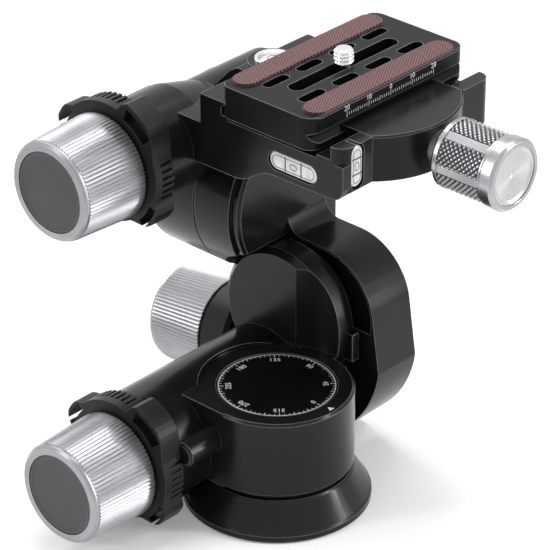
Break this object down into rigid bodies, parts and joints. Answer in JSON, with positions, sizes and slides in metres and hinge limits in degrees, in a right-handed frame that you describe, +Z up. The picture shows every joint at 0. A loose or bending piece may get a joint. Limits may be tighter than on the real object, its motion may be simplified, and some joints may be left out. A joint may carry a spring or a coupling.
{
  "type": "geared tripod head",
  "caption": "Geared head for a tripod: worm-driven pan, side tilt and front tilt with fluted knobs, under a dovetail quick-release clamp with spirit levels.",
  "frame": {"origin": "centre of the base's lower face, on the pan axis", "axes": "+Z up along the pan axis, -Y towards the pan and front tilt knobs, +X towards the clamp knob"},
  "size_m": [0.1461, 0.1424, 0.1412],
  "materials": {
    "black_anodised": "satin black anodised, machined",
    "black_plastic": "matte moulded black",
    "dial_black": "semi-gloss black dial with engraved white graduation",
    "grey_anodised": "titanium-grey anodised, fine lengthwise flutes",
    "knob_cap": "satin dark grey",
    "steel": "turned steel",
    "brass": "machined brass",
    "acetal": "natural acetal",
    "silver_aluminium": "silver, knurled",
    "chrome_screw": "bright turned steel",
    "level_vial": "clear acrylic level with a pale fluid",
    "pad_rubber": "maroon rubber with a fine mesh texture"
  },
  "bodies": {
    "base": {"base_flange": "black_anodised", "pan_spindle": "steel", "spindle_screws": "steel", "pan_gear": "brass", "thrust_washer": "black_plastic", "spindle_nut": "steel", "dial_plate": "dial_black"},
    "pan_stage": {"pan_housing": "black_anodised", "spindle_bush": "brass", "friction_washer": "acetal", "pan_worm_bearings": "brass", "pan_release_plunger": "black_plastic", "side_axle": "steel", "side_gear": "brass"},
    "pan_drive": {"pan_worm": "steel", "pan_knob": "grey_anodised", "pan_knob_cap": "knob_cap"},
    "pan_lever": {"pan_release_lever": "black_plastic"},
    "side_stage": {"tilt_arm": "black_anodised", "side_axle_bush": "brass", "side_axle_cap": "black_anodised", "side_worm_bearings": "brass", "side_collar": "black_plastic", "front_axle": "steel", "front_gear": "brass"},
    "side_drive": {"side_worm": "steel", "side_knob": "grey_anodised", "side_knob_cap": "knob_cap"},
    "front_stage": {"platform": "black_anodised", "front_axle_bush": "brass", "front_end_cap": "black_anodised", "front_worm_bearings": "brass", "bubble_level": "level_vial", "bubble_level_ring": "silver_aluminium", "front_level_vial": "level_vial", "side_level_vial": "level_vial", "clamp_nut": "brass", "lock_pin": "steel", "jaw_guide_pins": "steel"},
    "front_drive": {"front_worm": "steel", "front_knob": "grey_anodised", "front_knob_cap": "knob_cap"},
    "front_lever": {"front_release_lever": "black_plastic"},
    "jaw": {"clamp_jaw": "black_anodised"},
    "clamp_drive": {"clamp_screw": "silver_aluminium", "clamp_knob": "silver_aluminium", "clamp_knob_cap": "silver_aluminium"},
    "plate": {"quick_release_plate": "black_anodised", "plate_pads": "pad_rubber", "plate_stop_screws": "steel"},
    "screw_slider": {"screw_retainer": "steel"},
    "camera_screw_body": {"camera_screw": "chrome_screw"}
  },
  "joints": [
    {"name": "pan", "type": "hinge", "parent": "base", "child": "pan_stage", "pos_m": [0, 0, 0], "axis": [0, 0, 1], "continuous": true},
    {"name": "pan_knob_turn", "type": "hinge", "parent": "pan_stage", "child": "pan_drive", "pos_m": [-0.025, 0, 0.0217], "axis": [0, 1, 0], "continuous": true},
    {"name": "pan_release", "type": "hinge", "parent": "pan_stage", "child": "pan_lever", "pos_m": [-0.025, -0.042, 0.0217], "axis": [0, -1, 0], "range_deg": [0, 25], "stiffness_Nm_per_rad": 0.3, "springref_deg": -5.73},
    {"name": "side_tilt", "type": "hinge", "parent": "pan_stage", "child": "side_stage", "pos_m": [-0.0194, 0.042, 0.047], "axis": [0, 1, 0], "range_deg": [-30, 30]},
    {"name": "side_knob_turn", "type": "hinge", "parent": "side_stage", "child": "side_drive", "pos_m": [-0.01679, 0.042, 0.0241], "axis": [0.9936, 0, 0.1132], "range_deg": [-1620, 1620]},
    {"name": "front_tilt", "type": "hinge", "parent": "side_stage", "child": "front_stage", "pos_m": [-0.0525, 0.039, 0.0834], "axis": [1, 0, 0], "range_deg": [-30, 30]},
    {"name": "front_knob_turn", "type": "hinge", "parent": "front_stage", "child": "front_drive", "pos_m": [-0.0525, 0.039, 0.1058], "axis": [0, 1, 0], "range_deg": [-1560, 1560]},
    {"name": "front_release", "type": "hinge", "parent": "front_stage", "child": "front_lever", "pos_m": [-0.0525, -0.016, 0.1058], "axis": [0, -1, 0], "range_deg": [0, 25], "stiffness_Nm_per_rad": 0.3, "springref_deg": -5.73},
    {"name": "clamp_jaw_slide", "type": "slide", "parent": "front_stage", "child": "jaw", "axis": [1, 0, 0], "range_m": [0, 0.004]},
    {"name": "clamp_knob_turn", "type": "hinge", "parent": "jaw", "child": "clamp_drive", "pos_m": [0.05, 0.0357, 0.121], "axis": [1, 0, 0], "range_deg": [-970, 10]},
    {"name": "plate_slide", "type": "slide", "parent": "front_stage", "child": "plate", "axis": [0, 1, 0], "range_m": [-0.006, 0.006]},
    {"name": "camera_screw_slide", "type": "slide", "parent": "plate", "child": "screw_slider", "axis": [0, 1, 0], "range_m": [-0.019, 0.019]},
    {"name": "camera_screw_turn", "type": "hinge", "parent": "screw_slider", "child": "camera_screw_body", "pos_m": [-0.0051, 0.0357, 0.1358], "axis": [0, 0, 1], "continuous": true}
  ],
  "couplings": [
    {"joint": "pan_knob_turn", "follows": "pan", "ratio": -60},
    {"joint": "side_knob_turn", "follows": "side_tilt", "ratio": -54},
    {"joint": "front_knob_turn", "follows": "front_tilt", "ratio": -52},
    {"joint": "clamp_knob_turn", "follows": "clamp_jaw_slide", "rad_per_m": -4188.8}
  ]
}
